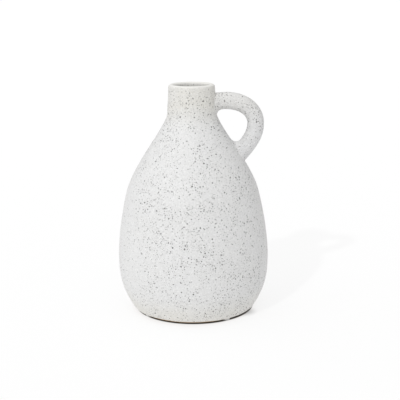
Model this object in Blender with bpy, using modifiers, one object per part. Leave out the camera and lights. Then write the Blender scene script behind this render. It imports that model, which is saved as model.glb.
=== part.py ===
"""Stoneware bottle vase with one loop handle, standing on four clear bumper pads.

The frame: the origin is on the floor under the vase's turning axis, +Z is up, and the
handle stands out towards +X. All lengths are in metres.

The pieces are the thrown body, the handle, the luting slip at each end of the handle,
and the pads stuck under the foot ring.
"""

from math import acos, asin, cos, hypot, pi, radians, sin

import bmesh
import bpy
import numpy as np

# Clearance left between neighbouring pieces.
GAP = 0.0003

# Body, outside.
HEIGHT = 0.175            # floor to the top of the lip
BELLY_RADIUS = 0.0583     # the widest part
BELLY_HEIGHT = 0.041      # floor to the widest part
FOOT_INSET = 0.0148       # the foot's flat is this much smaller in radius than the belly
FOOT_ROUND = 0.0055       # rounding between the foot's flat and the wall
FOOT_LEAN = radians(33)   # outward lean of the wall just above the foot
FOOT_SWEEP = 0.016        # how far that lean carries on up, as a curve's pull
BELLY_SWEEP_BELOW = 0.0135   # how far the wall stays upright below the belly, and above it
BELLY_SWEEP_ABOVE = 0.021
SHOULDER_INSET = 0.0081   # the shoulder's turning point, in from the belly
SHOULDER_DROP = 0.0582    # the same point, below the foot of the neck
SHOULDER_LEAN = radians(17)  # inward lean of the wall there
SHOULDER_SWEEP_BELOW = 0.0077
SHOULDER_SWEEP_ABOVE = 0.0215
NECK_RADIUS = 0.0188      # foot of the neck
NECK_LENGTH = 0.0214      # foot of the neck to the top of the lip
NECK_SWEEP = 0.0091       # how far the wall runs upright below the neck
LIP_TAPER = 0.0012        # the lip is this much smaller in radius than the neck's foot

# Body, inside and underneath.
WALL = 0.005
LIP_WALL = 0.0047         # the lip is a half round of this thickness
FLOOR = 0.006             # thickness of the bottom
FLOOR_CORNER = 0.012      # rise of the curve from the floor into the wall
FOOT_RING = 0.0092        # width of the flat that the pads are stuck to
RECESS_DEPTH = 0.002      # hollow inside the foot ring
RECESS_SLOPE = 0.002      # run of its sloping side

# Handle: a round roll of clay, luted to the neck and to the shoulder.
HANDLE_RADIUS = 0.0064
HANDLE_TOP_DROP = 0.0134  # upper root's centre, below the top of the lip
HANDLE_FALL = 0.0397      # lower root's centre, below the upper one
HANDLE_SPAN = 0.0295      # neck's wall to the outermost point of the centreline
HANDLE_CREST_DROP = 0.016 # that outermost point, below the upper root
HANDLE_RISE = radians(10) # upward slope as it leaves the neck
HANDLE_DIVE = radians(48.5)  # slope as it runs down to the shoulder
HANDLE_SWEEP_TOP = 0.020  # how far each of those slopes carries on, as a curve's pull
HANDLE_SWEEP_LOW = 0.014
CREST_SWEEP_ABOVE = 0.009 # how far the handle runs upright above and below its crest
CREST_SWEEP_BELOW = 0.008

# Luting slip: a thin bed under each end of the handle, and a fillet round it.
SLIP_BED = 0.0008
SLIP_FILLET = 0.0035
SLIP_EDGE = 0.0003        # thickness where the fillet runs out, on the handle and the wall
ROOT_DEPTH = 0.008        # how far the uncut ends run into the wall

# Pads: round, clear, with a flat foot.
PAD_RADIUS = 0.004
PAD_HEIGHT = 0.0012
PAD_EDGE = 0.0004         # rounding of the edge that meets the floor
PAD_OVERHANG = 0.001      # how far a pad reaches out past the foot's flat
PAD_COUNT = 4
PAD_FIRST_ANGLE = radians(-54.5)

# Fineness of the round stretches.
TURN_STEPS = 60
HANDLE_BEVEL = 8          # twenty sides
SLIP_SIDES = 40
PAD_SIDES = 32
WELD = 0.00001            # points nearer than this are one
CREASE = radians(40)      # faces that meet at more than this are not shaded as one

FOOT_LEVEL = PAD_HEIGHT + GAP
FOOT_RADIUS = BELLY_RADIUS - FOOT_INSET
FLOOR_LEVEL = FOOT_LEVEL + RECESS_DEPTH + FLOOR


def arc(centre, radius, first, last, steps):
    """Points on a circle in the (radius, height) plane, from angle first to angle last."""
    angles = np.linspace(first, last, steps + 1)
    return np.stack([centre[0] + radius * np.cos(angles), centre[1] + radius * np.sin(angles)], 1)


def bezier(start, start_pull, end_pull, end, steps):
    """Points on a cubic Bezier curve, both ends included. The pulls are offsets from the ends."""
    start, end = np.array(start), np.array(end)
    t = np.linspace(0, 1, steps + 1)[:, None]
    near, far = start + np.array(start_pull), end + np.array(end_pull)
    return ((1 - t) ** 3 * start + 3 * (1 - t) ** 2 * t * near
            + 3 * (1 - t) * t ** 2 * far + t ** 3 * end)


def lean(angle, length):
    """An offset of the given length that leans outwards from upright by angle."""
    return np.array([length * sin(angle), length * cos(angle)])


def offset(line, distance):
    """A line in the (radius, height) plane moved sideways, outwards where it runs upwards."""
    along = np.gradient(line, axis=0)
    along /= np.hypot(along[:, 0], along[:, 1])[:, None]
    return line + distance * np.stack([along[:, 1], -along[:, 0]], 1)


def outer_wall():
    """The outside of the body, from the foot's flat up to where the lip begins to round."""
    neck_level = HEIGHT - NECK_LENGTH
    belly = (BELLY_RADIUS, BELLY_HEIGHT)
    shoulder = (BELLY_RADIUS - SHOULDER_INSET, neck_level - SHOULDER_DROP)
    neck = (NECK_RADIUS, neck_level)
    lip = (NECK_RADIUS - LIP_TAPER, HEIGHT - LIP_WALL / 2)
    foot = arc((FOOT_RADIUS, FOOT_LEVEL + FOOT_ROUND), FOOT_ROUND, -pi / 2, -FOOT_LEAN, 4)
    return np.concatenate([
        foot,
        bezier(foot[-1], lean(FOOT_LEAN, FOOT_SWEEP), (0, -BELLY_SWEEP_BELOW), belly, 6)[1:],
        bezier(belly, (0, BELLY_SWEEP_ABOVE), -lean(-SHOULDER_LEAN, SHOULDER_SWEEP_BELOW),
               shoulder, 6)[1:],
        bezier(shoulder, lean(-SHOULDER_LEAN, SHOULDER_SWEEP_ABOVE), (0, -NECK_SWEEP),
               neck, 12)[1:],
        [lip],
    ])


def radius_at(level):
    """The body's outer radius at a height."""
    wall = outer_wall()
    return float(np.interp(level, wall[:, 1], wall[:, 0]))


def inner_wall():
    """The inside of the body, from the middle of the floor up to the lip."""
    wall = offset(outer_wall(), -WALL)
    wall = wall[wall[:, 1] > FLOOR_LEVEL + FLOOR_CORNER][:-1]
    along = wall[1] - wall[0]
    along *= FLOOR_CORNER / 2 / hypot(*along)
    corner_start = (wall[0, 0] - FLOOR_CORNER, FLOOR_LEVEL)
    corner = bezier(corner_start, (FLOOR_CORNER / 2, 0), -along, wall[0], 4)
    return np.concatenate([[(0, FLOOR_LEVEL)], corner, wall[1:]])


def body_profile():
    """The whole section of the body, up the inside, over the lip and down the outside."""
    lip_centre = (NECK_RADIUS - LIP_TAPER - LIP_WALL / 2, HEIGHT - LIP_WALL / 2)
    ring_inner = FOOT_RADIUS - FOOT_RING
    recess_level = FOOT_LEVEL + RECESS_DEPTH
    return np.concatenate([
        inner_wall(),
        arc(lip_centre, LIP_WALL / 2, pi, 0, 8),
        outer_wall()[-2::-1],
        [(ring_inner, FOOT_LEVEL), (ring_inner - RECESS_SLOPE, recess_level), (0, recess_level)],
    ])


def clearance_profile(distance):
    """A solid section that stands proud of the body's outside by distance."""
    wall = offset(outer_wall(), distance)[::-1]
    return np.concatenate([[(0, wall[0, 1])], wall, [(0, wall[-1, 1])]])


def handle_line():
    """The handle's centreline as (x, z), with both ends run on into the wall."""
    top_level = HEIGHT - HANDLE_TOP_DROP
    top = np.array([radius_at(top_level), top_level])
    low_level = top_level - HANDLE_FALL
    low = np.array([radius_at(low_level), low_level])
    crest = np.array([NECK_RADIUS + HANDLE_SPAN, top_level - HANDLE_CREST_DROP])
    leaving = np.array([cos(HANDLE_RISE), sin(HANDLE_RISE)])
    arriving = -np.array([cos(HANDLE_DIVE), sin(HANDLE_DIVE)])
    return np.concatenate([
        [top - ROOT_DEPTH * leaving],
        bezier(top, HANDLE_SWEEP_TOP * leaving, (0, CREST_SWEEP_ABOVE), crest, 12),
        bezier(crest, (0, -CREST_SWEEP_BELOW), -HANDLE_SWEEP_LOW * arriving, low, 10)[1:],
        [low + ROOT_DEPTH * arriving],
    ])


def material(name, colour, roughness, transmission=0.0):
    """A Principled BSDF material."""
    made = bpy.data.materials.new(name)
    made.use_nodes = True
    shader = made.node_tree.nodes["Principled BSDF"]
    shader.inputs["Base Color"].default_value = (*colour, 1)
    shader.inputs["Roughness"].default_value = roughness
    shader.inputs["Metallic"].default_value = 0
    shader.inputs["Transmission Weight"].default_value = transmission
    return made


def add_object(name, data, collection, finish=None):
    """Put mesh or curve data into the scene, with its material."""
    made = bpy.data.objects.new(name, data)
    collection.objects.link(made)
    if finish:
        data.materials.append(finish)
    else:
        made.hide_render = True
        made.display_type = "WIRE"
    return made


def turned(name, profile, collection, finish=None):
    """A solid of revolution: a profile of (radius, height) points with a Screw modifier."""
    mesh = bpy.data.meshes.new(name)
    points = [(radius, 0, height) for radius, height in profile]
    edges = [(index, index + 1) for index in range(len(points) - 1)]
    mesh.from_pydata(points, edges, [])
    made = add_object(name, mesh, collection, finish)
    screw = made.modifiers.new("Turn", "SCREW")
    screw.axis = "Z"
    screw.angle = 2 * pi
    screw.steps = TURN_STEPS
    screw.render_steps = TURN_STEPS
    screw.use_merge_vertices = True
    screw.merge_threshold = WELD
    screw.use_smooth_shade = True
    return made


def close_up(mesh):
    """Weld a mesh's seams and ends, face it outwards and shade its round faces smooth."""
    work = bmesh.new()
    work.from_mesh(mesh)
    bmesh.ops.remove_doubles(work, verts=work.verts, dist=WELD)
    bmesh.ops.recalc_face_normals(work, faces=work.faces)
    work.to_mesh(mesh)
    work.free()
    mesh.shade_smooth()
    mesh.set_sharp_from_angle(angle=CREASE)


def tube(name, line, radius, collection, finish):
    """A round tube along (x, z) points, as a closed mesh."""
    curve = bpy.data.curves.new(name, "CURVE")
    curve.dimensions = "3D"
    curve.bevel_depth = radius
    curve.bevel_resolution = HANDLE_BEVEL
    curve.use_fill_caps = True
    spline = curve.splines.new("POLY")
    spline.points.add(len(line) - 1)
    for point, (x, z) in zip(spline.points, line):
        point.co = (x, 0, z, 1)
    rod = bpy.data.objects.new(name + "_curve", curve)
    collection.objects.link(rod)
    evaluated = rod.evaluated_get(bpy.context.evaluated_depsgraph_get())
    mesh = bpy.data.meshes.new_from_object(evaluated)
    mesh.name = name
    made = add_object(name, mesh, collection, finish)
    made.matrix_world = rod.matrix_world.copy()
    bpy.data.objects.remove(rod)
    close_up(mesh)
    return made


def cut(piece, cutter):
    """Take the cutter's volume out of a piece."""
    boolean = piece.modifiers.new("Cut by " + cutter.name, "BOOLEAN")
    boolean.operation = "DIFFERENCE"
    boolean.solver = "EXACT"
    boolean.object = cutter


def climb_to_wall(starts, out):
    """Where the lines through the start points, along out, pass through the body's outside."""
    wall = outer_wall()
    near, far = np.full(len(starts), -ROOT_DEPTH), np.full(len(starts), ROOT_DEPTH)
    for _ in range(40):
        middle = (near + far) / 2
        points = starts + middle[:, None] * out
        radii = np.interp(points[:, 2], wall[:, 1], wall[:, 0])
        outside = np.hypot(points[:, 0], points[:, 1]) > radii
        near, far = np.where(outside, near, middle), np.where(outside, middle, far)
    return near


def slip_section():
    """Half the section through a slip, as (distance from the handle's axis, height on the wall).

    It runs from the middle of the bed's top out to the handle's side, up beside the handle,
    down the fillet and back along the wall. The fillet is a quarter round, hollow towards
    the outside: at an angle a it has climbed SLIP_FILLET * (1 - cos a) up the handle, and it
    stands SLIP_FILLET * (1 - sin a) out from it.
    """
    bore = HANDLE_RADIUS + GAP
    runs_out = asin(1 - (GAP + SLIP_EDGE) / SLIP_FILLET)
    angles = np.linspace(runs_out, acos(1 - SLIP_EDGE / SLIP_FILLET), 6)
    proud = HANDLE_RADIUS + SLIP_FILLET * (1 - np.sin(angles))
    climb = GAP + SLIP_FILLET * (1 - np.cos(angles))
    bed = [(share * bore, GAP + SLIP_BED) for share in (0, 0.5, 1)]
    wall = [(share * proud[-1], GAP) for share in (1, 0.75, 0.5, 0.25, 0)]
    return np.array([*bed, (bore, climb[0]), *zip(proud, climb), *wall])


def slip(name, inside, root, collection, finish):
    """Luting slip at one root: its section carried round the handle, on the curved wall."""
    out = np.array([root[0] - inside[0], 0, root[1] - inside[1]])
    out /= np.linalg.norm(out)
    up = np.array([-out[2], 0, out[0]])
    section = slip_section()
    angles = np.arange(SLIP_SIDES) * 2 * pi / SLIP_SIDES
    spokes = np.cos(angles)[:, None] * up + np.sin(angles)[:, None] * np.array([0, 1, 0])
    starts = (spokes[:, None] * section[None, :, :1]).reshape(-1, 3)
    starts += np.array([root[0], 0, root[1]])
    climbs = climb_to_wall(starts, out) + np.tile(section[:, 1], SLIP_SIDES)
    points = starts + climbs[:, None] * out
    count = len(section)
    faces = []
    for side in range(SLIP_SIDES):
        here, there = side * count, (side + 1) % SLIP_SIDES * count
        faces += [(here + k, here + k + 1, there + k + 1, there + k) for k in range(count - 1)]
    mesh = bpy.data.meshes.new(name)
    mesh.from_pydata(points.tolist(), [], faces)
    close_up(mesh)
    return add_object(name, mesh, collection, finish)


def pad(number, collection, finish):
    """A clear bumper pad on the foot ring: a disc whose lower edge is rounded.

    It is stuck on a little too far out, so its rim shows under the foot's rounding.
    """
    angle = PAD_FIRST_ANGLE + number * 2 * pi / PAD_COUNT
    ring_middle = FOOT_RADIUS - PAD_RADIUS + PAD_OVERHANG
    mesh = bpy.data.meshes.new("bumper_pad")
    work = bmesh.new()
    bmesh.ops.create_cone(work, cap_ends=True, segments=PAD_SIDES, radius1=PAD_RADIUS,
                          radius2=PAD_RADIUS, depth=PAD_HEIGHT)
    lower_edges = [edge for edge in work.edges if all(v.co.z < 0 for v in edge.verts)]
    bmesh.ops.bevel(work, geom=lower_edges, offset=PAD_EDGE, segments=3, profile=0.5,
                    affect="EDGES")
    work.to_mesh(mesh)
    work.free()
    mesh.shade_smooth()
    mesh.set_sharp_from_angle(angle=CREASE)
    made = add_object("bumper_pad_" + str(number + 1), mesh, collection, finish)
    made.location = (ring_middle * cos(angle), ring_middle * sin(angle), PAD_HEIGHT / 2)
    return made


def build():
    """Make every piece of the vase."""
    for old in list(bpy.data.objects):
        bpy.data.objects.remove(old)
    parts = bpy.data.collections.new("bottle_vase")
    cutters = bpy.data.collections.new("cutters")
    bpy.context.scene.collection.children.link(parts)
    bpy.context.scene.collection.children.link(cutters)

    body_glaze = material("speckled_matt_glaze", (0.75, 0.75, 0.73), 0.7)
    handle_glaze = material("speckled_matt_glaze_on_handle", (0.75, 0.75, 0.73), 0.7)
    slip_glaze = material("glazed_slip", (0.74, 0.74, 0.71), 0.72)
    clear = material("clear_polyurethane", (0.85, 0.86, 0.86), 0.25, 0.8)

    turned("body", body_profile(), parts, body_glaze)

    line = handle_line()
    handle = tube("handle", line, HANDLE_RADIUS, parts, handle_glaze)
    cut(handle, turned("handle_seat", clearance_profile(GAP + SLIP_BED + GAP), cutters))
    slip("upper_joint_slip", line[0], line[1], parts, slip_glaze)
    slip("lower_joint_slip", line[-1], line[-2], parts, slip_glaze)

    for number in range(PAD_COUNT):
        pad(number, parts, clear)


build()
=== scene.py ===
"""Looks of the stoneware bottle vase: its glaze, clay, luted joints and clear pads."""

from math import cos, pi, radians, sin

import bpy
import numpy as np
from mathutils import Euler, Matrix, Vector


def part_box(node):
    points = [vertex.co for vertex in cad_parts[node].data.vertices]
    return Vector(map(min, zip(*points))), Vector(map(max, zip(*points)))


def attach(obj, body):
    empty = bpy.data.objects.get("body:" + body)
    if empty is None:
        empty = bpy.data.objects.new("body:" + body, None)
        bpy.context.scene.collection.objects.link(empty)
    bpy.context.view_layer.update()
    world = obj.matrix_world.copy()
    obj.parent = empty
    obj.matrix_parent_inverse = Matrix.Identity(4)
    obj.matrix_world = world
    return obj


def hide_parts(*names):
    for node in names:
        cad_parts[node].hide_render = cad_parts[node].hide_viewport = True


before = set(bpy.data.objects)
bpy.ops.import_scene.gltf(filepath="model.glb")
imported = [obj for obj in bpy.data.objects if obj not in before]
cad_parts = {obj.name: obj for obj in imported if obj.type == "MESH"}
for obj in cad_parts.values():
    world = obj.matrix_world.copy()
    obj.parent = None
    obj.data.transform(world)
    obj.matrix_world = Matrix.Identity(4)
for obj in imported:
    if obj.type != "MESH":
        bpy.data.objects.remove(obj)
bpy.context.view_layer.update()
body_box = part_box("body")

MM = 0.001

# The design's own sizes, as the solids have them.
HEIGHT = body_box[1][2]
FOOT_LEVEL = body_box[0][2]
BELLY_RADIUS = body_box[1][0]
BELLY_HEIGHT = 41 * MM
FOOT_RADIUS = BELLY_RADIUS - 14.8 * MM
FOOT_ROUND = 5.5 * MM
FOOT_LEAN = radians(33)
SHOULDER_RADIUS = BELLY_RADIUS - 8.1 * MM
SHOULDER_LEAN = radians(17)
NECK_RADIUS = 18.8 * MM
NECK_LEVEL = HEIGHT - 21.4 * MM
SHOULDER_LEVEL = NECK_LEVEL - 58.2 * MM
LIP_RADIUS = NECK_RADIUS - 1.2 * MM
LIP_WALL = 4.7 * MM
WALL = 5 * MM
RECESS_DEPTH = 2 * MM
RECESS_SLOPE = 2 * MM
FLOOR_LEVEL = FOOT_LEVEL + RECESS_DEPTH + 6 * MM
FLOOR_CORNER = 12 * MM
FOOT_RING_WIDTH = 9.2 * MM
MOUTH_DEPTH = 8 * MM

# How far the wall's curves hold their direction, at each of their ends.
FOOT_SWEEP = 16 * MM
BELLY_SWEEP_BELOW = 13.5 * MM
BELLY_SWEEP_ABOVE = 21 * MM
SHOULDER_SWEEP_BELOW = 7.7 * MM
SHOULDER_SWEEP_ABOVE = 21.5 * MM
NECK_SWEEP = 9.1 * MM
LIP_SWEEP = 4 * MM
MOUTH_SWEEP = 2 * MM
RECESS_SWEEP = 1 * MM

HANDLE_RADIUS = 6.4 * MM
UPPER_ROOT_LEVEL = HEIGHT - 13.4 * MM
LOWER_ROOT_LEVEL = UPPER_ROOT_LEVEL - 39.7 * MM
CREST = (NECK_RADIUS + 29.5 * MM, UPPER_ROOT_LEVEL - 16 * MM)
HANDLE_RISE = radians(10)
HANDLE_DIVE = radians(48.5)
HANDLE_SWEEP_TOP = 20 * MM
CREST_SWEEP_ABOVE = 9 * MM
CREST_SWEEP_BELOW = 8 * MM
HANDLE_SWEEP_LOW = 14 * MM
ROOT_DEPTH = 8 * MM

# Each fillet's radius on the loop's outer side and inside the finger gap.
UPPER_FILLET = (0.45 * MM, 4.4 * MM)
LOWER_FILLET = (0.9 * MM, 7.3 * MM)
FILLET_POWER = 3.8

# Marks of making: the thrower's spiral and waves outside, finger rings inside, and the
# rings that the trimming tool left under the foot.
SPIRAL_DEPTH = 0.022 * MM
SPIRAL_PITCH = 7 * MM
OVAL_DEPTH = 0.08 * MM
LEAN_DEPTH = 0.05 * MM
FINGER_RING_DEPTH = 0.28 * MM
FINGER_RING_PITCH = 8 * MM
TRIMMING_DEPTH = 0.06 * MM
TRIMMING_PITCH = 1.9 * MM

# The glaze is a coat of this thickness. It stops a little above the foot's flat, in a roll
# that stands out by the last of these.
GLAZE_COAT = 0.22 * MM
GLAZE_LINE = FOOT_LEVEL + 1.3 * MM
GLAZE_ROLL = 0.08 * MM

# How finely the grids are cut. Close to the foot the outside has steps of its own.
BODY_SIDES = 256
HANDLE_SIDES = 72
PAD_SIDES = 64
INSIDE_STEPS = 90
OUTSIDE_STEPS = 150
NEAR_FOOT = 5 * MM
NEAR_FOOT_STEPS = 44
UNDER_STEPS = 70
MIDDLE_RING = 0.4 * MM


# ---------------------------------------------------------------- curves and grids

def bezier(start, start_pull, end_pull, end, count):
    """A cubic Bezier curve as count + 1 points; the pulls are offsets from its ends."""
    start, end = np.array(start, float), np.array(end, float)
    t = np.linspace(0, 1, count + 1)[:, None]
    near, far = start + np.array(start_pull), end + np.array(end_pull)
    return ((1 - t) ** 3 * start + 3 * (1 - t) ** 2 * t * near
            + 3 * (1 - t) * t ** 2 * far + t ** 3 * end)


def arc(centre, radius, first, last, count):
    """Points on a circle about centre, from angle first to angle last."""
    a = np.linspace(first, last, count + 1)
    return np.stack([centre[0] + radius * np.cos(a), centre[1] + radius * np.sin(a)], 1)


def leaning(angle, length):
    """An offset of a length that leans outwards from upright by angle."""
    return np.array([length * sin(angle), length * cos(angle)])


def smooth(low, high, value):
    """Rises from 0 at low to 1 at high as 3t^2 - 2t^3."""
    t = np.clip((value - low) / (high - low), 0, 1)
    return t * t * (3 - 2 * t)


def spaced(line, steps):
    """Points along a line at the given distances from its start, as shares of its length."""
    run = np.concatenate([[0], np.cumsum(np.hypot(*np.diff(line, axis=0).T))])
    return np.stack([np.interp(steps * run[-1], run, line[:, k]) for k in (0, 1)], 1)


def surface(name, rings, loop=False):
    """A closed mesh from an array of rings of points.

    Each ring is joined to the next by quads and closed round on itself. The two ends are
    closed by a fan to the mean of the end ring, or joined to each other where loop is true.
    The faces are turned over if the volume that they enclose comes out negative.
    """
    count, sides = rings.shape[:2]
    at = np.arange(count * sides).reshape(count, sides)
    if loop:
        here, there = at, np.roll(at, -1, axis=0)
    else:
        here, there = at[:-1], at[1:]
    quads = np.stack([here, np.roll(here, -1, 1), np.roll(there, -1, 1), there], -1).reshape(-1, 4)
    points = rings.reshape(-1, 3)
    fans = np.zeros((0, 3), int)
    if not loop:
        ends = rings[[0, -1]].mean(axis=1)
        first, last = len(points), len(points) + 1
        points = np.concatenate([points, ends])
        fans = np.concatenate([
            np.stack([np.roll(at[0], -1), at[0], np.full(sides, first)], 1),
            np.stack([at[-1], np.roll(at[-1], -1), np.full(sides, last)], 1),
        ])
    corners = np.concatenate([quads[:, [0, 1, 2]], quads[:, [0, 2, 3]], fans])
    a, b, c = (points[corners[:, k]] for k in range(3))
    if np.einsum("ij,ij->", a, np.cross(b, c)) < 0:
        quads, fans = quads[:, ::-1], fans[:, ::-1]
    mesh = bpy.data.meshes.new(name)
    mesh.from_pydata(points.tolist(), [], quads.tolist() + fans.tolist())
    mesh.shade_smooth()
    mesh.set_sharp_from_angle(angle=radians(45))
    made = bpy.data.objects.new(name, mesh)
    bpy.context.scene.collection.objects.link(made)
    return made


def turned(profile, sides):
    """Rings of a profile of (radius, height) points about the Z axis, and their angles."""
    angles = np.arange(sides) * 2 * pi / sides
    radius, height = profile[:, 0, None], profile[:, 1, None]
    rings = np.stack(np.broadcast_arrays(radius * np.cos(angles), radius * np.sin(angles), height), -1)
    return rings, angles


# ---------------------------------------------------------------- the thrown body

def wall_line():
    """The body's outside as (radius, height), from the foot's flat up to the lip's rounding.

    A round foot edge, then four Bezier curves: foot to belly, belly to shoulder, the hollow
    sweep from the shoulder into the neck, and the neck's slight taper up to the lip.
    """
    belly, neck = (BELLY_RADIUS, BELLY_HEIGHT), (NECK_RADIUS, NECK_LEVEL)
    shoulder, lip = (SHOULDER_RADIUS, SHOULDER_LEVEL), (LIP_RADIUS, HEIGHT - LIP_WALL / 2)
    foot = arc((FOOT_RADIUS, FOOT_LEVEL + FOOT_ROUND), FOOT_ROUND, -pi / 2, -FOOT_LEAN, 24)
    up_the_shoulder = leaning(-SHOULDER_LEAN, 1)
    return np.concatenate([
        foot,
        bezier(foot[-1], leaning(FOOT_LEAN, FOOT_SWEEP), (0, -BELLY_SWEEP_BELOW), belly, 60)[1:],
        bezier(belly, (0, BELLY_SWEEP_ABOVE), -SHOULDER_SWEEP_BELOW * up_the_shoulder, shoulder, 80)[1:],
        bezier(shoulder, SHOULDER_SWEEP_ABOVE * up_the_shoulder, (0, -NECK_SWEEP), neck, 120)[1:],
        bezier(neck, (0, LIP_SWEEP), (0, -LIP_SWEEP), lip, 30)[1:],
    ])


WALL_LINE = wall_line()


def hand_of_the_thrower(height, angle):
    """How far the outside strays from a true turned form.

    A faint spiral left by the fingers, the sine of the angle plus one turn for each pitch of
    height, and two slow waves, of two and of three swells to the turn, that make the pot very
    slightly oval. All of it goes inwards from the true form, and dies out at the foot and
    the lip.
    """
    above_foot = smooth(2 * MM, 14 * MM, height)
    below_lip = 1 - smooth(HEIGHT - 16 * MM, HEIGHT - 4 * MM, height)
    spiral = SPIRAL_DEPTH * (np.sin(2 * pi * height / SPIRAL_PITCH + angle) - 1)
    oval = OVAL_DEPTH * (np.cos(2 * angle + 0.9) * np.sin(pi * height / HEIGHT) - 1)
    lean = LEAN_DEPTH * (np.cos(3 * angle - height / (28 * MM)) - 1)
    return above_foot * below_lip * (spiral + oval + lean)


def wall_radius(height, angle):
    """The body's outer radius at a height and an angle."""
    return np.interp(height, WALL_LINE[:, 1], WALL_LINE[:, 0]) + hand_of_the_thrower(height, angle)


def inner_line():
    """The body's inside, from the middle of the floor up to the lip.

    It is the outside moved in by the wall, square to itself, with a Bezier curve for the
    corner at the floor and another up to the mouth.
    """
    along = np.gradient(WALL_LINE, axis=0)
    along /= np.hypot(*along.T)[:, None]
    wall = WALL_LINE + WALL * np.stack([-along[:, 1], along[:, 0]], 1)
    wall = wall[(wall[:, 1] > FLOOR_LEVEL + FLOOR_CORNER) & (wall[:, 1] < HEIGHT - MOUTH_DEPTH)]
    climb = wall[2] - wall[0]
    climb *= FLOOR_CORNER / 2 / np.hypot(*climb)
    corner_start = (wall[0, 0] - FLOOR_CORNER, FLOOR_LEVEL)
    corner = bezier(corner_start, (FLOOR_CORNER / 2, 0), -climb, wall[0], 24)
    mouth = (LIP_RADIUS - LIP_WALL, HEIGHT - LIP_WALL / 2)
    up_to_mouth = bezier(wall[-1], (0, MOUTH_SWEEP), (0, -MOUTH_SWEEP), mouth, 8)
    return np.concatenate([[(MIDDLE_RING, FLOOR_LEVEL)], corner, wall[1:], up_to_mouth[1:]])


def under_line():
    """The underside, from the foot's flat in to the middle.

    The flat ring, a Bezier curve for the soft slope, and the flat of the trimmed recess.
    """
    ring_inner = FOOT_RADIUS - FOOT_RING_WIDTH
    recess = FOOT_LEVEL + RECESS_DEPTH
    slope_end = (ring_inner - RECESS_SLOPE, recess)
    slope = bezier((ring_inner, FOOT_LEVEL), (-RECESS_SWEEP, 0), (RECESS_SWEEP, 0), slope_end, 12)
    return np.concatenate([[(FOOT_RADIUS, FOOT_LEVEL)], slope, [(MIDDLE_RING, recess)]])


def body():
    """The pot: one turned surface, up the inside, over the lip, down the outside and under.

    To the true turned form are added the thrower's spiral and ovalness outside, deeper
    finger rings inside, fine trimming rings under the foot, and the glaze's edge: below
    its wavy line the surface steps in by the coat's thickness, with a small roll above it.
    """
    lip = arc((LIP_RADIUS - LIP_WALL / 2, HEIGHT - LIP_WALL / 2), LIP_WALL / 2, pi, 0, 20)
    inside = spaced(inner_line(), np.linspace(0, 1, INSIDE_STEPS))[:-1]
    down = WALL_LINE[::-1]
    near_foot = down[down[:, 1] < FOOT_LEVEL + NEAR_FOOT]
    above_foot = down[down[:, 1] >= FOOT_LEVEL + NEAR_FOOT]
    outside = np.concatenate([spaced(above_foot, np.linspace(0, 1, OUTSIDE_STEPS))[1:],
                              spaced(near_foot, np.linspace(0, 1, NEAR_FOOT_STEPS))[1:]])
    under = spaced(under_line(), np.linspace(0, 1, UNDER_STEPS))[1:]
    rings, angles = turned(np.concatenate([inside, lip, outside, under]), BODY_SIDES)
    starts = np.cumsum([0, len(inside), len(lip), len(outside), len(under)])
    within, _, outer, below = (slice(*pair) for pair in zip(starts, starts[1:]))
    height = rings[..., 2].copy()

    out = np.stack([np.cos(angles), np.sin(angles), 0 * angles], -1)
    rings[outer] += hand_of_the_thrower(height[outer], angles)[..., None] * out
    up = height[within]
    fade = smooth(16 * MM, 30 * MM, up) * (1 - smooth(HEIGHT - 30 * MM, HEIGHT - 16 * MM, up))
    finger_rings = FINGER_RING_DEPTH * fade * np.sin(2 * pi * up / FINGER_RING_PITCH + angles)
    rings[within] += finger_rings[..., None] * out

    line = GLAZE_LINE + MM * (0.22 * np.sin(3 * angles + 1) + 0.12 * np.sin(8 * angles)
                              + 0.06 * np.sin(19 * angles + 2))
    above = height - line
    bare = 1 - smooth(-0.15 * MM, 0.15 * MM, above)
    bare[within] = 0
    roll = GLAZE_ROLL * np.exp(-((above - 0.7 * MM) / (0.5 * MM)) ** 2)
    rings[outer] += (roll - GLAZE_COAT * bare)[outer][..., None] * out
    distance = np.hypot(rings[below, :, 0], rings[below, :, 1])
    in_recess = distance < FOOT_RADIUS - FOOT_RING_WIDTH - RECESS_SLOPE
    fade = smooth(3 * MM, 8 * MM, distance) * in_recess
    rings[below, :, 2] += TRIMMING_DEPTH * fade * np.sin(2 * pi * distance / TRIMMING_PITCH + angles)

    made = surface("thrown_body", rings)
    values = np.concatenate([bare.ravel(), [0, 1]]).astype(np.float32)
    made.data.attributes.new("bare_clay", "FLOAT", "POINT").data.foreach_set("value", values)
    return made


# ---------------------------------------------------------------- the handle and its slip

def handle_path():
    """The handle's centreline as (x, z), its distance along, and its outward normals.

    Two Bezier curves, neck to crest and crest to shoulder, with both ends run straight on
    into the wall. Distance is 0 at the neck's root.
    """
    top = np.array([wall_radius(UPPER_ROOT_LEVEL, 0), UPPER_ROOT_LEVEL])
    low = np.array([wall_radius(LOWER_ROOT_LEVEL, 0), LOWER_ROOT_LEVEL])
    leaving = np.array([cos(HANDLE_RISE), sin(HANDLE_RISE)])
    arriving = -np.array([cos(HANDLE_DIVE), sin(HANDLE_DIVE)])
    bend = np.concatenate([
        bezier(top, HANDLE_SWEEP_TOP * leaving, (0, CREST_SWEEP_ABOVE), CREST, 200),
        bezier(CREST, (0, -CREST_SWEEP_BELOW), -HANDLE_SWEEP_LOW * arriving, low, 160)[1:],
    ])
    run = np.concatenate([[0], np.cumsum(np.hypot(*np.diff(bend, axis=0).T))])
    points = np.concatenate([[top - ROOT_DEPTH * leaving], bend, [low + ROOT_DEPTH * arriving]])
    run = np.concatenate([[-ROOT_DEPTH], run, [run[-1] + ROOT_DEPTH]])
    along = np.gradient(points, run, axis=0)
    along /= np.hypot(*along.T)[:, None]
    return points, run, np.stack([-along[:, 1], along[:, 0]], 1)


PATH, PATH_RUN, PATH_OUT = handle_path()
HANDLE_LENGTH = PATH_RUN[-1] - ROOT_DEPTH
ROUND = np.arange(HANDLE_SIDES) * 2 * pi / HANDLE_SIDES


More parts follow.
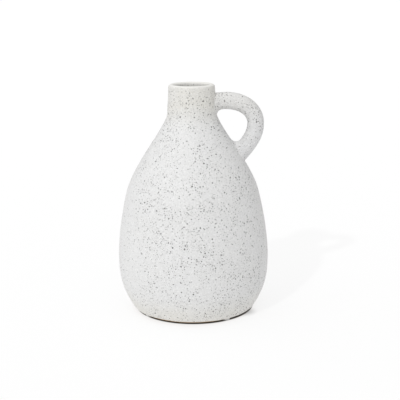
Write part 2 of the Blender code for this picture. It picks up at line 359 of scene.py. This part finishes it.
def on_handle(run, distance):
    """Points at a run along the centreline and a distance from it.

    Both are arrays ending in HANDLE_SIDES, with one place for each angle of ROUND, which is 0
    on the loop's outer side. A point stands off the centreline by the distance times the
    cosine of its angle along the outward normal, and times its sine along Y.
    """
    at = [np.interp(run, PATH_RUN, line) for line in (*PATH.T, *PATH_OUT.T)]
    side = distance * np.cos(ROUND)
    return np.stack([at[0] + side * at[2], distance * np.sin(ROUND), at[1] + side * at[3]], -1)


def handle_radius(run):
    """The roll's radius: a touch fuller at the roots, and uneven by a few hundredths of a mm."""
    share = run / HANDLE_LENGTH
    swell = 0.10 * MM * (2 * share - 1) ** 2
    uneven = 0.05 * MM * np.sin(9 * share + 2 * ROUND) + 0.03 * MM * np.sin(21 * share - ROUND)
    return HANDLE_RADIUS + swell + uneven


def run_at_wall(distance, lower):
    """Where, along the centreline, points at a distance from it lie on the body's outside.

    Found by halving the stretch around the root forty times.
    """
    middle = HANDLE_LENGTH if lower else 0
    inside = np.full(np.shape(distance), middle + (ROOT_DEPTH if lower else -ROOT_DEPTH))
    outside = 2 * middle - inside
    for _ in range(40):
        half = (inside + outside) / 2
        point = on_handle(half, distance)
        height, angle = point[..., 2], np.arctan2(point[..., 1], point[..., 0])
        free = np.hypot(point[..., 0], point[..., 1]) > wall_radius(height, angle)
        outside, inside = np.where(free, half, outside), np.where(free, inside, half)
    return outside


def fillet_radius(lower):
    """The fillet round a root: small on the loop's outer side, wide inside the finger gap.

    It grows from the one to the other as (1 - cos)/2 of the angle, raised to a power.
    """
    outer, inner = LOWER_FILLET if lower else UPPER_FILLET
    return outer + (inner - outer) * ((1 - np.cos(ROUND)) / 2) ** FILLET_POWER


def edge_of_slip(lower):
    """Where the fillet runs out on the handle, as a run for each angle of ROUND."""
    away = -1 if lower else 1
    run = run_at_wall(np.full(HANDLE_SIDES, HANDLE_RADIUS), lower) + away * fillet_radius(lower)
    return run, handle_radius(run)


def slip(name, lower):
    """Luting slip: a quarter-round fillet carried round the root, hollow to the outside.

    At an angle a from the wall it stands fillet * (1 - sin a) out from the handle's side and
    has climbed fillet * (1 - cos a) along it. Its back goes on into the wall and comes up
    again inside the handle, so that the ring is one closed body.
    """
    away = -1 if lower else 1
    fillet = fillet_radius(lower)
    edge_run, edge_radius = edge_of_slip(lower)
    a = np.linspace(pi / 2, 0, 22)[:, None]
    proud = edge_radius + fillet * (1 - np.sin(a))
    climb = fillet * (1 - np.cos(a))
    runs = run_at_wall(proud, lower) + away * climb
    runs += (edge_run - runs[0]) * np.sin(a) ** 4
    buried = 0.8 * MM
    overlap = 1 * MM
    core = edge_radius - overlap
    rings = np.concatenate([
        on_handle(runs, proud),
        on_handle(runs[-1:] - away * buried, proud[-1:]),
        on_handle(runs[-1:] - away * buried, core[None]),
        on_handle(edge_run[None], core[None]),
    ])
    return surface(name, rings, loop=True)


def handle():
    """The clay roll between the two fillets: circles carried along the centreline.

    The runs blend from one fillet's edge to the other's. Past each edge a thinner core goes
    on into the wall, out of sight, and closes the body.
    """
    top_run, _ = edge_of_slip(False)
    low_run, _ = edge_of_slip(True)
    share = np.linspace(0, 1, 150)[:, None]
    runs = top_run * (1 - share) + low_run * share
    radii = handle_radius(runs)
    step_in = 0.7 * MM
    inset = 1 * MM
    thin = np.full((1, HANDLE_SIDES), HANDLE_RADIUS - step_in)
    first_wall = run_at_wall(thin, False) - inset
    last_wall = run_at_wall(thin, True) + inset
    rings = np.concatenate([
        on_handle(first_wall, thin), on_handle(runs[:1], thin), on_handle(runs, radii),
        on_handle(runs[-1:], thin), on_handle(last_wall, thin),
    ])
    return surface("looped_handle", rings)


# ---------------------------------------------------------------- the pads

def bumper_pad(number):
    """A clear pad, turned about its own middle and pressed up against the foot ring.

    A disc with a flat foot, a quarter-round lower edge and a small round upper one.
    """
    low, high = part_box("bumper_pad_" + str(number))
    middle = [(low[k] + high[k]) / 2 for k in (0, 1)]
    radius, floor = (high[0] - low[0]) / 2, low[2]
    hairline = 0.01 * MM
    top = FOOT_LEVEL - hairline
    lower_round, upper_round = 0.55 * MM, 0.15 * MM
    middle_ring = 0.3 * MM
    profile = np.concatenate([
        [(middle_ring, floor), (radius - lower_round, floor)],
        arc((radius - lower_round, floor + lower_round), lower_round, -pi / 2, 0, 10)[1:],
        arc((radius - upper_round, top - upper_round), upper_round, 0, pi / 2, 5),
        [(middle_ring, top)],
    ])
    rings, _ = turned(profile, PAD_SIDES)
    rings[..., :2] += middle
    return surface("clear_pad_" + str(number), rings)


# ---------------------------------------------------------------- materials

# Settings and inputs that many nodes share.
SOFT = {"interpolation_type": "SMOOTHSTEP"}
TIMES = {"operation": "MULTIPLY"}
TIMES_PLUS = {"operation": "MULTIPLY_ADD"}
COLOURS = {"data_type": "RGBA"}
LUMPY = {"Roughness": 0.55}


def linear(code):
    """A colour for a shader socket from its sRGB hex code."""
    values = [int(code[k:k + 2], 16) / 255 for k in (1, 3, 5)]
    return (*[v / 12.92 if v <= 0.04045 else ((v + 0.055) / 1.055) ** 2.4 for v in values], 1)


def node(tree, kind, inputs=None, **settings):
    """Add a shader node.

    The kind is its type, without the ShaderNode in front, and the settings are its
    properties. Each input is a value, the socket that feeds it, or a node whose first
    output does.
    """
    made = tree.nodes.new("ShaderNode" + kind)
    for name, value in settings.items():
        setattr(made, name, value)
    for name, value in (inputs or {}).items():
        feed = value.outputs[0] if isinstance(value, bpy.types.Node) else value
        if isinstance(feed, bpy.types.NodeSocket):
            tree.links.new(feed, made.inputs[name])
        else:
            made.inputs[name].default_value = feed
    return made


def new_material(name):
    """A material with an empty tree but for its shader, and the place in Object coordinates."""
    made = bpy.data.materials.new(name)
    made.use_nodes = True
    tree = made.node_tree
    return made, tree, tree.nodes["Principled BSDF"], node(tree, "TexCoord").outputs["Object"]


def iron_in_clay(tree, place, thin_above):
    """How rich in iron the clay is, about 1 on the whole.

    It lies in patches of 13 mm and of 40 mm. It is scaled down towards the side away from the handle,
    so that side has fewer specks, and it shows most on the neck, where the coat is thin.
    """
    patches = node(tree, "TexNoise", {"Vector": place, "Scale": 1 / (13 * MM), "Detail": 1} | LUMPY)
    patches = node(tree, "MapRange", {0: patches, 1: 0.40, 2: 0.60, 3: 0.52, 4: 1.38}, **SOFT)
    wide = node(tree, "TexNoise", {"Vector": place, "Scale": 1 / (40 * MM), "Detail": 0} | LUMPY)
    wide = node(tree, "MapRange", {0: wide, 1: 0.35, 2: 0.65, 3: 0.75, 4: 1.15}, **SOFT)
    across = node(tree, "SeparateXYZ", {0: place}).outputs[0]
    side = node(tree, "MapRange", {0: across, 1: -52 * MM, 2: -26 * MM, 3: 0.38}, **SOFT)
    neck = node(tree, "MapRange", {0: thin_above, 3: 1, 4: 1.9}, **SOFT)
    patchy = node(tree, "Math", {0: patches, 1: wide}, **TIMES)
    placed = node(tree, "Math", {0: side, 1: neck}, **TIMES)
    return node(tree, "Math", {0: patchy, 1: placed}, **TIMES)


def iron_specks(tree, place, iron, spacing, radius, share, shift):
    """Iron spots that bled into the glaze: 1 in a spot, 0 off it.

    Each cell of a random pattern with the given spacing holds one spot at most. A cell's own
    random colour sets the spot's size and depth, and whether it is there: only that share of
    the cells has one, more where the clay is rich in iron. The shift moves the pattern, so
    that the specks of one size don't lie on those of another.
    """
    moved = node(tree, "Mapping", {"Vector": place, "Location": shift})
    cells = node(tree, "TexVoronoi", {"Vector": moved, "Scale": 1 / spacing}, feature="F1")
    own = node(tree, "SeparateColor", {"Color": cells.outputs["Color"]})
    widest = radius / spacing
    size = node(tree, "MapRange", {0: own.outputs[0], 3: 0.5 * widest, 4: widest}, **SOFT)
    core = node(tree, "Math", {0: size, 1: 0.75}, **TIMES)
    edge = {0: cells.outputs["Distance"], 1: core, 2: size, 3: 1, 4: 0}
    spot = node(tree, "MapRange", edge, **SOFT)
    chance = node(tree, "Math", {0: iron, 1: share}, **TIMES)
    there = node(tree, "Math", {0: own.outputs[1], 1: chance}, operation="LESS_THAN")
    depth = node(tree, "MapRange", {0: own.outputs[2], 3: 0.65}, **SOFT)
    seen = node(tree, "Math", {0: spot, 1: there}, **TIMES)
    return node(tree, "Math", {0: seen, 1: depth}, **TIMES)


def coat_of_glaze(tree, place, thin, ground, warmth):
    """The glaze's colour between the specks.

    Where the coat is thin the clay warms it. Over that lie slow clouds, a mottling of a
    millimetre or two, and light grains of fine crystals. Real crystals are far too fine to
    show, so their grains are drawn coarse, at 0.75 mm.
    """
    warm = node(tree, "Math", {0: thin, 1: warmth}, **TIMES)
    tint = {0: warm, 6: linear(ground), 7: linear("#dcdad3")}
    colour = node(tree, "Mix", tint, **COLOURS).outputs[2]
    for grain, detail, low, high, strength, shade in (
        (22 * MM, 3, 0.35, 0.65, 0.35, "#dcdcdb"),
        (1.6 * MM, 4, 0.42, 0.62, 0.30, "#cdcdcb"),
        (0.75 * MM, 1, 0.54, 0.68, 0.55, "#f6f6f5"),
    ):
        lumps = node(tree, "TexNoise", {"Vector": place, "Scale": 1 / grain, "Detail": detail} | LUMPY)
        amount = node(tree, "MapRange", {0: lumps, 1: low, 2: high, 4: strength}, **SOFT)
        tint = {0: amount, 6: colour, 7: linear(shade)}
        colour = node(tree, "Mix", tint, **COLOURS).outputs[2]
    return colour


def bare_clay(tree, place, height, specks):
    """The foot's unglazed stoneware clay, wiped clean: its colour, and its sand as 0 to 1.

    The eye sees a buff, dry and sandy surface, toasted brown next to the glaze. The sand is
    drawn at 0.7 mm, coarser than real grains, so that it shows.
    """
    sand = node(tree, "TexNoise", {"Vector": place, "Scale": 1 / (0.7 * MM), "Detail": 4} | LUMPY)
    sand = node(tree, "MapRange", {0: sand, 1: 0.35, 2: 0.68}, **SOFT)
    tint = {0: sand, 6: linear("#c9b696"), 7: linear("#a98f6c")}
    colour = node(tree, "Mix", tint, **COLOURS).outputs[2]
    near_glaze = {0: height, 1: GLAZE_LINE - 1.6 * MM, 2: GLAZE_LINE + 0.3 * MM, 4: 0.55}
    toasted = node(tree, "MapRange", near_glaze, **SOFT)
    tint = {0: toasted, 6: colour, 7: linear("#a9774a")}
    colour = node(tree, "Mix", tint, **COLOURS).outputs[2]
    iron = node(tree, "Math", {0: specks, 1: 0.8}, **TIMES)
    tint = {0: iron, 6: colour, 7: linear("#4c3a2a")}
    return node(tree, "Mix", tint, **COLOURS).outputs[2], sand


def glaze(name, ground="#dedede", warmth=0.9, over_clay=False):
    """Stoneware glaze, white and matt, dipped and fired over a speckled clay.

    The eye sees a soft, stony, slightly uneven white. It is warmer where the coat is thin,
    at the lip, the neck and just above the foot. Iron in the clay has bled up as specks, the
    finest in clouds and a few large and dark. The skin has a fine orange peel and pinholes.
    The ground is the glaze's colour at full thickness, and warmth is how far the thin coat
    lets the clay tint it. Where over_clay is true the bare foot shows the clay itself.
    """
    made, tree, shader, place = new_material(name)
    height = node(tree, "SeparateXYZ", {0: place}).outputs[2]
    up_the_neck = {0: height, 1: NECK_LEVEL - 12 * MM, 2: NECK_LEVEL + 8 * MM}
    thin_above = node(tree, "MapRange", up_the_neck, **SOFT)
    down_to_foot = {0: height, 1: FOOT_LEVEL + 24 * MM, 2: FOOT_LEVEL + 3 * MM}
    thin_below = node(tree, "MapRange", down_to_foot, **SOFT)
    thin = node(tree, "Math", {0: thin_above, 1: thin_below}, operation="MAXIMUM")
    colour = coat_of_glaze(tree, place, thin, ground, warmth)

    # The specks' outlines are ragged: the place wanders by about a third of a millimetre.
    wander = node(tree, "TexNoise", {"Vector": place, "Scale": 1 / (0.5 * MM)}).outputs["Color"]
    ragged = node(tree, "VectorMath", {0: wander, 1: (0.35 * MM,) * 3, 2: place}, **TIMES_PLUS)
    iron = iron_in_clay(tree, place, thin_above)
    fine = iron_specks(tree, ragged, iron, 1.05 * MM, 0.35 * MM, 0.70, (0, 0, 0))
    middling = iron_specks(tree, ragged, iron, 1.7 * MM, 0.48 * MM, 0.70, (0.31, 0.17, 0.05))
    large = iron_specks(tree, ragged, iron, 2.9 * MM, 0.66 * MM, 0.52, (0.11, 0.53, 0.29))
    below_lip = {0: height, 1: HEIGHT - 1.5 * MM, 2: HEIGHT - 5 * MM, 3: 0.3}
    few_on_lip = node(tree, "MapRange", below_lip, **SOFT)
    for specks, depth, shade in (
        (fine, 0.9, "#6f6d6a"), (middling, 1, "#33312e"), (large, 1, "#191715"),
    ):
        amount = node(tree, "Math", {0: specks, 1: depth}, **TIMES)
        amount = node(tree, "Math", {0: amount, 1: few_on_lip}, **TIMES)
        tint = {0: amount, 6: colour, 7: linear(shade)}
        colour = node(tree, "Mix", tint, **COLOURS).outputs[2]

    # On the lip's crown the glaze shows as a clean, pale line: partly a thicker roll of glaze, partly a
    # painted highlight.
    at_crown_highlight = {0: height, 1: HEIGHT - 1.2 * MM, 2: HEIGHT - 0.6 * MM, 4: 0.85}
    crown_highlight = node(tree, "MapRange", at_crown_highlight, **SOFT)
    tint = {0: crown_highlight, 6: colour, 7: linear("#ebeae6")}
    colour = node(tree, "Mix", tint, **COLOURS).outputs[2]

    # The skin: an orange peel 0.9 mm across, and pinholes where the middling specks lie.
    peel = node(tree, "TexNoise", {"Vector": place, "Scale": 1 / (0.9 * MM), "Detail": 3} | LUMPY)
    roughness = node(tree, "MapRange", {0: peel, 1: 0.3, 2: 0.7, 3: 0.50, 4: 0.66}, **SOFT)
    relief = node(tree, "Math", {0: peel, 1: 0.035 * MM}, **TIMES)
    relief = node(tree, "Math", {0: middling, 1: -0.05 * MM, 2: relief}, **TIMES_PLUS)

    if over_clay:
        bare = node(tree, "Attribute", attribute_name="bare_clay").outputs["Fac"]
        clay, sand = bare_clay(tree, place, height, fine)
        colour = node(tree, "Mix", {0: bare, 6: colour, 7: clay}, **COLOURS).outputs[2]
        roughness = node(tree, "MapRange", {0: bare, 3: roughness, 4: 0.92}, **SOFT)
        grit = node(tree, "Math", {0: sand, 1: bare}, **TIMES)
        relief = node(tree, "Math", {0: grit, 1: 0.12 * MM, 2: relief}, **TIMES_PLUS)

    bump = node(tree, "Bump", {"Height": relief, "Strength": 1, "Distance": 1})
    shader.inputs["IOR"].default_value = 1.5
    shader.inputs["Metallic"].default_value = 0
    tree.links.new(colour, shader.inputs["Base Color"])
    tree.links.new(roughness.outputs[0], shader.inputs["Roughness"])
    tree.links.new(bump.outputs[0], shader.inputs["Normal"])
    return made


def clear_polyurethane():
    """Clear moulded polyurethane: a soft, slightly cloudy plastic with dust on its skin.

    It lets some light through, blurred, so that a pad shows as a pale grey lens. The dust is
    drawn at 0.35 mm, coarser than real dust, so that it shows.
    """
    made, tree, shader, place = new_material("clear polyurethane, moulded")
    dust = node(tree, "TexNoise", {"Vector": place, "Scale": 1 / (0.35 * MM), "Detail": 3} | LUMPY)
    dust = node(tree, "MapRange", {0: dust, 1: 0.56, 2: 0.70}, **SOFT)
    cloud = node(tree, "TexNoise", {"Vector": place, "Scale": 1 / (1.5 * MM), "Detail": 2} | LUMPY)
    cloud = node(tree, "MapRange", {0: cloud, 1: 0.35, 2: 0.65, 3: 0.10, 4: 0.24}, **SOFT)
    dusty = node(tree, "Math", {0: dust, 1: 0.5}, **TIMES)
    tint = {0: dusty, 6: linear("#eef1f1"), 7: linear("#c9c8c4")}
    colour = node(tree, "Mix", tint, **COLOURS).outputs[2]
    roughness = node(tree, "Math", {0: dust, 1: 0.4, 2: cloud}, **TIMES_PLUS)
    relief = node(tree, "Math", {0: cloud, 1: 0.02 * MM}, **TIMES)
    bump = node(tree, "Bump", {"Height": relief, "Distance": 1})
    shader.inputs["IOR"].default_value = 1.49
    shader.inputs["Transmission Weight"].default_value = 0.2
    tree.links.new(colour, shader.inputs["Base Color"])
    tree.links.new(roughness.outputs[0], shader.inputs["Roughness"])
    tree.links.new(bump.outputs[0], shader.inputs["Normal"])
    return made


# ---------------------------------------------------------------- the object

def finish_piece(piece, node_name, material):
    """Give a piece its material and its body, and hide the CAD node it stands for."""
    piece.data.materials.append(material)
    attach(piece, "root")
    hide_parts(node_name)


def vase():
    """Every piece of the vase."""
    body_glaze = glaze("matt stoneware glaze over buff clay, dipped", over_clay=True)
    finish_piece(body(), "body", body_glaze)
    # The handle's glaze has a slightly darker ground than the body's: painted shade, as the same glaze
    # covers both.
    handle_glaze_painted_shade = glaze("matt stoneware glaze on the handle, dipped", "#d7d7d8", 0.40)
    finish_piece(handle(), "handle", handle_glaze_painted_shade)
    slip_glaze = glaze("matt stoneware glaze on luted slip, dipped", "#dedede", 0.5)
    finish_piece(slip("upper_slip", False), "upper_joint_slip", slip_glaze)
    finish_piece(slip("lower_slip", True), "lower_joint_slip", slip_glaze)
    clear = clear_polyurethane()
    for number in (1, 2, 3, 4):
        finish_piece(bumper_pad(number), "bumper_pad_" + str(number), clear)


# ---------------------------------------------------------------- the studio

# The table: half its width, and how far its top lies under the pads.
TABLE_HALF = 15
TABLE_DROP = 0.02 * MM
TABLE_GLOW = 0.76

# The painted contact shadow under the foot, an oval cut out of the table's glow: it is squeezed along X
# by this much to become round, and its edge goes from dark to bright over the two distances outside the
# foot's radius.
CONTACT_SHADOW_SQUEEZE = (0.972, 1, 1)
CONTACT_SHADOW_MIDDLE = (0.6 * MM, 0.85 * MM, 0)
CONTACT_SHADOW_EDGE = (0.3 * MM, 1.7 * MM)

# The softer painted contact shadow beside the foot, at the right front: its middle, its edge's two
# distances from there, and the share of the glow that is left inside it.
SHADE_MIDDLE = (38 * MM, -17 * MM, 0)
SHADE_EDGE = (3 * MM, 13 * MM)
SHADE_LEFT = 0.6

# The key lamp's strength, width and way, and the white room's light from the left, the front
# and overhead, over what comes from all round.
KEY_STRENGTH = 0.86
KEY_WIDTH = radians(2.5)
KEY_WAY = (0.411, 0.693, -0.593)
ROOM_SIDES = (0.27, 0.12, 0.93)
ROOM_ALL_ROUND = 0.165

# The camera's lens and place, how far it looks down, and its small turn and roll.
LENS = 83.75
CAMERA_PLACE = (0, -0.700, 0.2552)
CAMERA_DOWN = radians(13.65)
CAMERA_TURN = radians(-0.455)
CAMERA_ROLL = radians(-0.516)


def studio_floor():
    """A wide table of opal acrylic, lit from below so that shadows on it stay pale.

    Most light passes through the sheet, so it gives little back from above. The glow has painted
    shadows cut into it: a dark oval under the vase paints the shade in the gap beneath its foot,
    and a softer round beside the foot, at the right front, paints its contact shadow.
    """
    mesh = bpy.data.meshes.new("studio_floor")
    near, far = -TABLE_HALF, TABLE_HALF
    corners = [(near, near, 0), (far, near, 0), (far, far, 0), (near, far, 0)]
    mesh.from_pydata(corners, [], [(0, 1, 2, 3)])
    floor = bpy.data.objects.new("studio_floor", mesh)
    floor.location.z = -TABLE_DROP
    bpy.context.scene.collection.objects.link(floor)
    acrylic, tree, shader, place = new_material("opal acrylic sheet, lit from below")
    # The glow is cut by an oval under the foot: painted shade in the gap beneath it.
    oval = node(tree, "VectorMath", {0: place, 1: CONTACT_SHADOW_SQUEEZE}, **TIMES)
    away = node(tree, "VectorMath", {0: oval, 1: CONTACT_SHADOW_MIDDLE}, operation="DISTANCE")
    beside = node(tree, "VectorMath", {0: place, 1: SHADE_MIDDLE}, operation="DISTANCE")
    contact_shadow = {0: away.outputs["Value"], 1: FOOT_RADIUS + CONTACT_SHADOW_EDGE[0], 2: FOOT_RADIUS + CONTACT_SHADOW_EDGE[1]}
    glow_less_painted_shadows = node(tree, "MapRange", contact_shadow | {4: TABLE_GLOW}, **SOFT)
    # A softer round beside the foot, at the right front: painted contact shadow.
    spread = {0: beside.outputs["Value"], 1: SHADE_EDGE[0], 2: SHADE_EDGE[1], 3: SHADE_LEFT}
    shade = node(tree, "MapRange", spread, **SOFT)
    glow_less_painted_shadows = node(tree, "Math", {0: glow_less_painted_shadows, 1: shade}, **TIMES)
    tree.links.new(glow_less_painted_shadows.outputs[0], shader.inputs["Emission Strength"])
    shader.inputs["Emission Color"].default_value = linear("#ffffff")
    shader.inputs["Base Color"].default_value = linear("#7c7c7c")
    shader.inputs["Roughness"].default_value = 0.8
    mesh.materials.append(acrylic)


def studio_light():
    """A key lamp from the front left, and a white room, brightest overhead and least so behind."""
    lamp = bpy.data.lights.new("key", "SUN")
    lamp.energy = KEY_STRENGTH
    lamp.angle = KEY_WIDTH
    key = bpy.data.objects.new("key", lamp)
    key.rotation_euler = Vector(KEY_WAY).to_track_quat("-Z", "Y").to_euler()
    bpy.context.scene.collection.objects.link(key)
    room = bpy.data.worlds.new("white room")
    room.use_nodes = True
    tree = room.node_tree
    way = node(tree, "TexCoord").outputs["Generated"]
    toward = node(tree, "VectorMath", {0: way, 1: (-1, -1, 1)}, **TIMES)
    toward = node(tree, "VectorMath", {0: toward, 1: (0, 0, 0)}, operation="MAXIMUM")
    sides = node(tree, "VectorMath", {0: toward, 1: ROOM_SIDES}, operation="DOT_PRODUCT")
    strength = {0: sides.outputs["Value"], 1: ROOM_ALL_ROUND}
    strength = node(tree, "Math", strength, operation="ADD").outputs[0]
    tree.links.new(strength, tree.nodes["Background"].inputs["Strength"])
    tree.nodes["Background"].inputs["Color"].default_value = linear("#ffffff")
    bpy.context.scene.world = room
    bpy.context.scene.view_settings.view_transform = "Standard"


def studio_camera():
    """A long lens a little above the vase, looking down past its foot."""
    lens = bpy.data.cameras.new("camera")
    lens.sensor_width = 36
    lens.lens = LENS
    camera = bpy.data.objects.new("camera", lens)
    camera.location = CAMERA_PLACE
    aim = Euler((pi / 2 - CAMERA_DOWN, 0, CAMERA_TURN)).to_matrix()
    camera.rotation_euler = (aim @ Matrix.Rotation(CAMERA_ROLL, 3, "Z")).to_euler()
    bpy.context.scene.collection.objects.link(camera)
    bpy.context.scene.camera = camera


vase()
studio_floor()
studio_light()
studio_camera()
